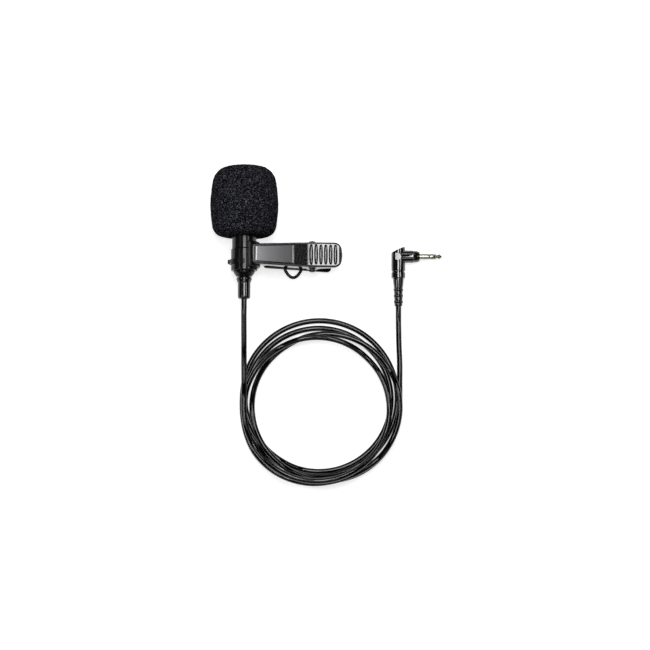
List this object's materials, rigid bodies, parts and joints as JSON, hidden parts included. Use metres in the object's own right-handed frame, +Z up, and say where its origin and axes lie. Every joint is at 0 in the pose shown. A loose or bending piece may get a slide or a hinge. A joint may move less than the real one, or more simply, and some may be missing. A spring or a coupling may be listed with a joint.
{
  "type": "lavalier microphone",
  "caption": "Clip-on lavalier microphone with a foam windscreen, a sprung tie clip, a thin coiled cable and a right-angle jack plug, laid out flat.",
  "frame": {"origin": "on the surface it lies on, under the middle of the box of the microphone and its clip", "axes": "+Z up from the surface; +Y along the microphone's axis towards the windscreen's front; +X along the clip's lever and the jack"},
  "size_m": [0.1033, 0.1422, 0.0301],
  "materials": {
    "foam_black": "open-cell acoustic foam, matt",
    "black_anodised": "satin black on metal",
    "black_moulding": "satin black moulding",
    "gloss_black": "glossy black moulding",
    "grey_plate": "glossy dark grey plate",
    "black_rubber": "soft black rubber",
    "black_cable": "smooth black cable jacket",
    "steel": "bright steel",
    "capsule_silver": "satin can",
    "board_green": "green circuit board",
    "pale_gold": "pale gold plate, polished",
    "insulator": "dark insulator",
    "mesh_grey": "fine woven mesh"
  },
  "bodies": {
    "microphone": {"microphone_housing": "black_anodised", "grille_cap": "black_anodised", "dust_mesh": "mesh_grey", "capsule_boot": "black_rubber", "condenser_capsule": "capsule_silver", "circuit_board": "board_green", "spacer_tube": "insulator", "rear_cap": "black_anodised", "cable_sleeve": "black_rubber", "cable_stop": "steel", "plug_housing": "gloss_black", "plug_boot": "black_rubber", "jack_sleeve": "pale_gold", "jack_insulator_rear": "insulator", "jack_ring": "pale_gold", "jack_insulator_front": "insulator", "jack_tip": "pale_gold", "cable_from_microphone": "black_cable", "cable_coil": "black_cable", "cable_to_plug": "black_cable"},
    "windscreen": {"foam_windscreen": "foam_black"},
    "clip": {"holder_ring": "black_moulding", "upper_jaw": "gloss_black", "face_plate": "grey_plate", "hinge_pin": "gloss_black", "jaw_spring": "steel"},
    "lower_jaw": {"lower_jaw": "gloss_black", "grip_pad": "black_rubber", "cable_eye": "black_moulding"}
  },
  "joints": [
    {"name": "windscreen_pull", "type": "slide", "parent": "microphone", "child": "windscreen", "axis": [0, 1, 0], "range_m": [0, 0.022]},
    {"name": "clip_turn", "type": "hinge", "parent": "microphone", "child": "clip", "pos_m": [-0.01429, -0.0101, 0.01505], "axis": [0, 1, 0], "continuous": true},
    {"name": "jaw_open", "type": "hinge", "parent": "clip", "child": "lower_jaw", "pos_m": [0.01594, -0.0101, 0.01033], "axis": [0, -1, 0], "range_deg": [0, 24], "stiffness_Nm_per_rad": 0.06, "springref_deg": -20.05, "deforming": ["jaw_spring"]}
  ]
}
